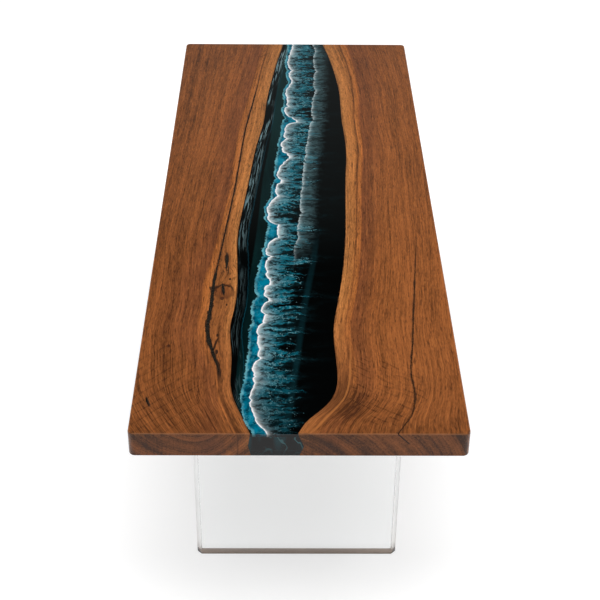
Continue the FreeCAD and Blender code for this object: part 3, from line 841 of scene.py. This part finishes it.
def lay_crest(resin, at, water):
    """The crest, sharp on its left and melting into the foam, and a few loose drops."""
    width = resin.larger(resin.noise(at.place, 26.0, 1.0) * 0.0105 - 0.0018, 0.001)
    crest = resin.rise(at.past_crest, -0.0026, -0.0008) * resin.decay(at.past_crest, width)
    water = resin.tint(crest, water, CREST_WHITE)
    drops = resin.fall(resin.cells(at.place, 120.0), 0.10, 0.2)
    drops = drops * resin.rise(resin.noise(at.place, 40.0, 1.0), 0.56, 0.62)
    near_rim = resin.rise(at.past_shallows, -0.008, -0.004) * resin.fall(at.past_shallows, 0.0, 0.002)
    in_backwash = resin.rise(at.past_crest, 0.02, 0.04) * resin.fall(at.past_crest, 0.08, 0.11) * 0.7
    return resin.tint(drops * resin.clamped(near_rim + in_backwash), water, DROP)


def surf_resin():
    """Polished dark resin with a surf pattern that floats near the top and dies away below it."""
    material, resin, shader = new_material("surf resin", Roughness=0.03, IOR=1.44)
    at = surf_places(resin)
    water = dark_water(resin, at)
    for lay_over in (lay_backwash, lay_second_crest, lay_shallows, lay_crest):
        water = lay_over(resin, at, water)
    shown = resin.rise(at.up, TABLE_HEIGHT - PATTERN_DEPTH, TABLE_HEIGHT) * 0.85 + 0.15
    resin.wire(resin.tint(shown, SUNKEN, water), shader.inputs["Base Color"])
    return material


def dark_resin():
    """The lower pour: nearly black, with faint threads of colour that sank from the surf."""
    material, resin, shader = new_material("dark resin", IOR=1.45)
    place = resin.object_place()
    spot = resin.apart(place)
    up = spot[2]
    drift = resin.streaked(spot, (26.0, 26.0, 16.0))
    threads = resin.fall(resin.size(drift - 0.5), 0.004, 0.030)
    threads = threads * resin.rise(up, THREADS_START, THREADS_FULL)
    columns = resin.rise(resin.streaked(spot, (34.0, 34.0, 5.0), 1.0), 0.48, 0.66)
    columns = columns * resin.rise(up, COLUMNS_START, COLUMNS_FULL)
    pour_line = resin.fall(resin.size(up - POUR_LINE + resin.wander(place, 9.0, 0.0015)), 0.0004, 0.0016)
    colour = resin.tint(columns * 0.9, paint(2, 4, 4), paint(16, 78, 86))
    colour = resin.tint(threads * 0.9, colour, paint(76, 130, 136))
    colour = resin.tint(pour_line * 0.5, colour, paint(30, 52, 54))
    resin.wire(colour, shader.inputs["Base Color"])
    sanded = resin.fall(up, POLISH_START, SANDED_END) * (resin.noise(place, 300.0) * 0.2 + 0.36)
    resin.wire(sanded + 0.04, shader.inputs["Roughness"])
    return material


def crack_resin():
    """Black resin in the cracks, with bark dust in it and brown bark down both sides of the long ones."""
    material, resin, shader = new_material("black crack resin", IOR=1.5, Specular_IOR_Level=0.25)
    at = places_at(resin, CRACKS)
    across, along, up = resin.apart(at.place)
    dust = resin.noise(at.place, 160.0, 3.0)
    colour = resin.tint(dust, paint(12, 10, 8), paint(52, 46, 38))
    from_seam = resin.size(across - at.seam)
    opening = resin.fall(along, -0.48, -0.42) * 0.008 + 0.0014 + resin.wander(at.place, 55.0, 0.0012)
    seam_bark = resin.rise(from_seam, opening, opening + 0.0012) * resin.fall(from_seam, 0.009, 0.011)
    from_check = resin.size(across - at.check)
    check_bark = resin.rise(from_check, 0.0007, 0.0015) * resin.fall(from_check, 0.006, 0.008)
    check_bark = check_bark * resin.rise(up, TABLE_HEIGHT - 0.003, TABLE_HEIGHT - 0.001)
    bark_colour = resin.tint(resin.rise(dust, 0.35, 0.65), paint(92, 52, 27), paint(138, 82, 43))
    colour = resin.tint(seam_bark + check_bark * 0.8, colour, bark_colour)
    resin.wire(colour, shader.inputs["Base Color"])
    resin.wire(dust * 0.25 + 0.08, shader.inputs["Roughness"])
    return material


def clear_acrylic():
    """Polished cast acrylic that lets light through to what stands behind it, with satin chamfers that
    carry a faint painted glow.
    """
    material, finish, shader = new_material(
        "clear acrylic",
        Base_Color=paint(250, 251, 251),
        Transmission_Weight=1.0,
        IOR=1.49,
        Emission_Strength=1.0,
    )
    place = finish.object_place()
    across, _, up = finish.apart(place)
    satin = finish.rise(finish.size(across), CHAMFER_START - 0.0006, CHAMFER_START + 0.0004)
    satin = satin * finish.rise(up, CLEAR_FOOT, SATIN_FOOT)
    finish.wire(finish.noise(place, 3.0) * 0.012 + satin * 0.58, shader.inputs["Roughness"])
    # Painted glow: the satin chamfers give off a little light, though the acrylic is no lamp
    finish.wire(finish.tint(satin, BLACK, CHAMFER_GLOW), shader.inputs["Emission Color"])
    nodes = material.node_tree.nodes
    links = material.node_tree.links
    through = nodes.new("ShaderNodeBsdfTransparent")
    through.inputs["Color"].default_value = paint(238, 241, 241)
    ray = nodes.new("ShaderNodeLightPath")
    either = nodes.new("ShaderNodeMixShader")
    links.new(ray.outputs["Is Shadow Ray"], either.inputs[0])
    links.new(shader.outputs[0], either.inputs[1])
    links.new(through.outputs[0], either.inputs[2])
    links.new(either.outputs[0], nodes["Material Output"].inputs["Surface"])
    return material


def brown_felt():
    """Pressed brown felt, with painted shade at its corners where it lies under the panel's chamfers."""
    material, felt, shader = new_material(
        "brown felt", Roughness=0.95, Sheen_Weight=0.4, Sheen_Roughness=0.5
    )
    place = felt.object_place()
    spot = felt.apart(place)
    hairs = felt.streaked(spot, (500.0, 900.0, 900.0), 3.0, 0.7)
    colour = felt.tint(hairs, paint(108, 90, 76), paint(162, 140, 121))
    colour = felt.tint(felt.noise(place, 120.0) * 0.4, colour, paint(120, 100, 84))
    # Painted shade: the felt is darkened at its corners, under the panel's chamfers
    corners = felt.rise(felt.size(spot[0]), CHAMFER_START - 0.001, CHAMFER_START + 0.003)
    felt.wire(felt.tint(corners * 0.9, colour, paint(38, 31, 27)), shader.inputs["Base Color"])
    felt.wire(felt.bump(hairs, 0.6, 0.0006), shader.inputs["Normal"])
    return material


def satin_metal(name, dark, pale, roughness):
    """A metal with fine drawing lines along the table's width."""
    material, metal, shader = new_material(name, Metallic=1.0)
    at = places_at(metal, DRAWN_METAL)
    metal.wire(metal.tint(at.lines * 0.6 + at.cloud * 0.4, dark, pale), shader.inputs["Base Color"])
    metal.wire(at.lines * 0.12 + at.cloud * 0.1 + (roughness - 0.11), shader.inputs["Roughness"])
    metal.wire(metal.bump(at.lines, 0.05, 0.0001), shader.inputs["Normal"])
    return material


def black_rubber():
    """Dull black rubber with a greyish bloom."""
    material, rubber, shader = new_material("black rubber", Specular_IOR_Level=0.35)
    place = rubber.object_place()
    bloom = rubber.noise(place, 60.0, 4.0)
    rubber.wire(rubber.tint(bloom, paint(20, 20, 20), paint(42, 41, 40)), shader.inputs["Base Color"])
    rubber.wire(bloom * 0.3 + 0.5, shader.inputs["Roughness"])
    rubber.wire(rubber.bump(rubber.noise(place, 900.0), 0.2, 0.0002), shader.inputs["Normal"])
    return material


def black_powder_coat():
    """Black powder coat with a fine orange peel."""
    material, coat, shader = new_material("black powder coat")
    place = coat.object_place()
    orange_peel = coat.noise(place, 700.0)
    cloud = coat.noise(place, 20.0, 3.0)
    coat.wire(coat.tint(cloud, paint(22, 22, 23), paint(40, 40, 42)), shader.inputs["Base Color"])
    coat.wire(orange_peel * 0.2 + 0.35, shader.inputs["Roughness"])
    coat.wire(coat.bump(orange_peel, 0.35, 0.0003), shader.inputs["Normal"])
    return material


FINISHES = {
    "oiled_hardwood": hardwood(),
    "wave_resin": surf_resin(),
    "dark_resin": dark_resin(),
    "black_resin": crack_resin(),
    "clear_acrylic": clear_acrylic(),
    "brown_felt": brown_felt(),
    "satin_aluminium": satin_metal("satin aluminium", paint(176, 178, 180), paint(214, 216, 218), 0.34),
    "black_rubber": black_rubber(),
    "black_powder_coat": black_powder_coat(),
    "brass": satin_metal("turned brass", paint(176, 136, 68), paint(222, 184, 104), 0.3),
    "stainless_steel": satin_metal("stainless steel", paint(168, 168, 168), paint(206, 206, 206), 0.26),
}


def dress_solids():
    """Gives every solid the finish of its slot."""
    for row in frame["record"]["subparts"]:
        solid = solids[row["node"]]
        solid.data.materials.clear()
        solid.data.materials.append(FINISHES[row["material_slot"]])


def felt_strip(name, pad):
    """Felt glued under a leg panel, chamfered at its corners like the panel and soft at its edges."""
    low, high = box_of(pad)
    width, depth, thickness = high - low
    bpy.ops.object.select_all(action="DESELECT")
    bpy.ops.mesh.primitive_plane_add(size=1.0, location=(0.0, 0.0, 0.0))
    strip = bpy.context.object
    strip.name = name
    bpy.ops.object.mode_set(mode="EDIT")
    bpy.ops.mesh.select_all(action="SELECT")
    bpy.ops.transform.resize(value=(width, depth, 1.0))
    bpy.ops.transform.translate(value=(0.0, (low.y + high.y) / 2, 0.0))
    bpy.ops.mesh.bevel(affect="VERTICES", offset=PANEL_CHAMFER)
    lift = {"value": (0.0, 0.0, thickness + FELT_BITE)}
    bpy.ops.mesh.extrude_region_move(TRANSFORM_OT_translate=lift)
    bpy.ops.mesh.select_all(action="SELECT")
    bpy.ops.mesh.normals_make_consistent()
    bpy.ops.mesh.bevel(affect="EDGES", offset=FELT_SOFTNESS, segments=FELT_EDGE_STEPS)
    bpy.ops.object.mode_set(mode="OBJECT")
    bpy.ops.object.shade_smooth_by_angle()
    strip.data.materials.append(FINISHES["brown_felt"])
    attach(strip, "root")
    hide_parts(pad)


def white_floor():
    """White that keeps soft shadows from the lamps, with a painted shadow under the table and a painted
    shade in front that only gloss sees; it looks white in gloss and through glass, and opens from below.
    """
    material = bpy.data.materials.new("white floor")
    material.use_nodes = True
    nodes = material.node_tree.nodes
    links = material.node_tree.links
    nodes.remove(nodes["Principled BSDF"])
    finish = Finish(material.node_tree)
    matte = nodes.new("ShaderNodeBsdfDiffuse")
    matte.inputs["Color"].default_value = FLOOR_MATTE
    glow = nodes.new("ShaderNodeEmission")
    glow.inputs["Color"].default_value = WHITE
    ray = nodes.new("ShaderNodeLightPath")
    in_gloss = Field(finish, ray.outputs["Is Glossy Ray"])
    seen = finish.larger(Field(finish, ray.outputs["Is Camera Ray"]), in_gloss)
    seen = finish.larger(seen, Field(finish, ray.outputs["Is Transmission Ray"]))
    across, along, _ = finish.apart(finish.object_place())
    # Painted shadow: the floor's glow is dimmed in an oval under the table
    under = finish.fall(finish.oval(across, along, *FLOOR_UNDER_TABLE), 0.15, 1.0)
    under = under * finish.fall(finish.size(along), SHADE_FADE_START, SHADE_FADE_END)
    # Painted shade: in front of the table the glow is dimmed for glossy rays only
    painted_gloss_shade = finish.near(across, along, FLOOR_IN_FRONT) * in_gloss
    level = (1.0 - under * SHADE_UNDER_TABLE) * (1.0 - painted_gloss_shade * SHADE_IN_FRONT)
    finish.wire(seen * level, glow.inputs["Strength"])
    both = nodes.new("ShaderNodeAddShader")
    links.new(matte.outputs[0], both.inputs[0])
    links.new(glow.outputs[0], both.inputs[1])
    from_below = nodes.new("ShaderNodeNewGeometry").outputs["Backfacing"]
    either = nodes.new("ShaderNodeMixShader")
    links.new(from_below, either.inputs[0])
    links.new(both.outputs[0], either.inputs[1])
    links.new(nodes.new("ShaderNodeBsdfTransparent").outputs[0], either.inputs[2])
    links.new(either.outputs[0], nodes["Material Output"].inputs["Surface"])
    return material


def lay_floor():
    """A wide floor under the table."""
    bpy.ops.object.select_all(action="DESELECT")
    bpy.ops.mesh.primitive_plane_add(size=FLOOR_SIZE, location=(0.0, 0.0, 0.0))
    floor = bpy.context.object
    floor.name = "floor"
    floor.data.materials.append(white_floor())


def hang_softbox(name, place, aim, width, height, power, mirrored):
    """A soft lamp that faces a place. One that isn't mirrored doesn't show in gloss."""
    lamp = bpy.data.lights.new(name, "AREA")
    lamp.shape = "RECTANGLE"
    lamp.size = width
    lamp.size_y = height
    lamp.energy = power
    holder = bpy.data.objects.new(name, lamp)
    holder.location = place
    holder.rotation_euler = (Vector(aim) - Vector(place)).to_track_quat("-Z", "Y").to_euler()
    holder.visible_glossy = mirrored
    bpy.context.scene.collection.objects.link(holder)


def light_room():
    """Softboxes overhead, at the sides and in front, in a room that mirrors dark and looks white."""
    for softbox in SOFTBOXES:
        hang_softbox(*softbox)
    world = bpy.data.worlds.new("studio")
    bpy.context.scene.world = world
    world.use_nodes = True
    nodes = world.node_tree.nodes
    room = Finish(world.node_tree)
    height = room.apart(Field(room, nodes.new("ShaderNodeTexCoord").outputs["Generated"]))[2]
    shade = room.ramp(height, ROOM_SHADES)
    ray = nodes.new("ShaderNodeLightPath")
    seen = room.larger(
        Field(room, ray.outputs["Is Camera Ray"]), Field(room, ray.outputs["Is Transmission Ray"])
    )
    seen = room.larger(seen, Field(room, ray.outputs["Is Glossy Ray"]) * room.fall(height, 0.03, 0.15))
    room.wire(room.tint(seen, shade, WHITE), nodes["Background"].inputs["Color"])


def set_camera():
    """The photograph's view: down on one short end from above a standing height."""
    pitch, yaw, roll = (math.radians(turn) for turn in (CAMERA_PITCH, CAMERA_YAW, CAMERA_ROLL))
    forward = Vector((math.sin(yaw) * math.cos(pitch), math.cos(yaw) * math.cos(pitch), -math.sin(pitch)))
    level = forward.cross(Vector((0.0, 0.0, 1.0))).normalized()
    upright = level.cross(forward)
    camera_x = level * math.cos(roll) + upright * math.sin(roll)
    camera_y = upright * math.cos(roll) - level * math.sin(roll)
    lens = bpy.data.cameras.new("camera")
    lens.sensor_width = SENSOR_WIDTH
    lens.lens = CAMERA_LENS
    camera = bpy.data.objects.new("camera", lens)
    turn = Matrix((camera_x, camera_y, -forward)).transposed().to_4x4()
    camera.matrix_world = Matrix.Translation(CAMERA_PLACE) @ turn
    bpy.context.scene.collection.objects.link(camera)
    bpy.context.scene.camera = camera


dress_solids()
felt_strip("front_felt_strip", "front_leg_foot_pad")
felt_strip("rear_felt_strip", "rear_leg_foot_pad")
lay_floor()
light_room()
set_camera()
bpy.context.scene.view_settings.view_transform = "Standard"
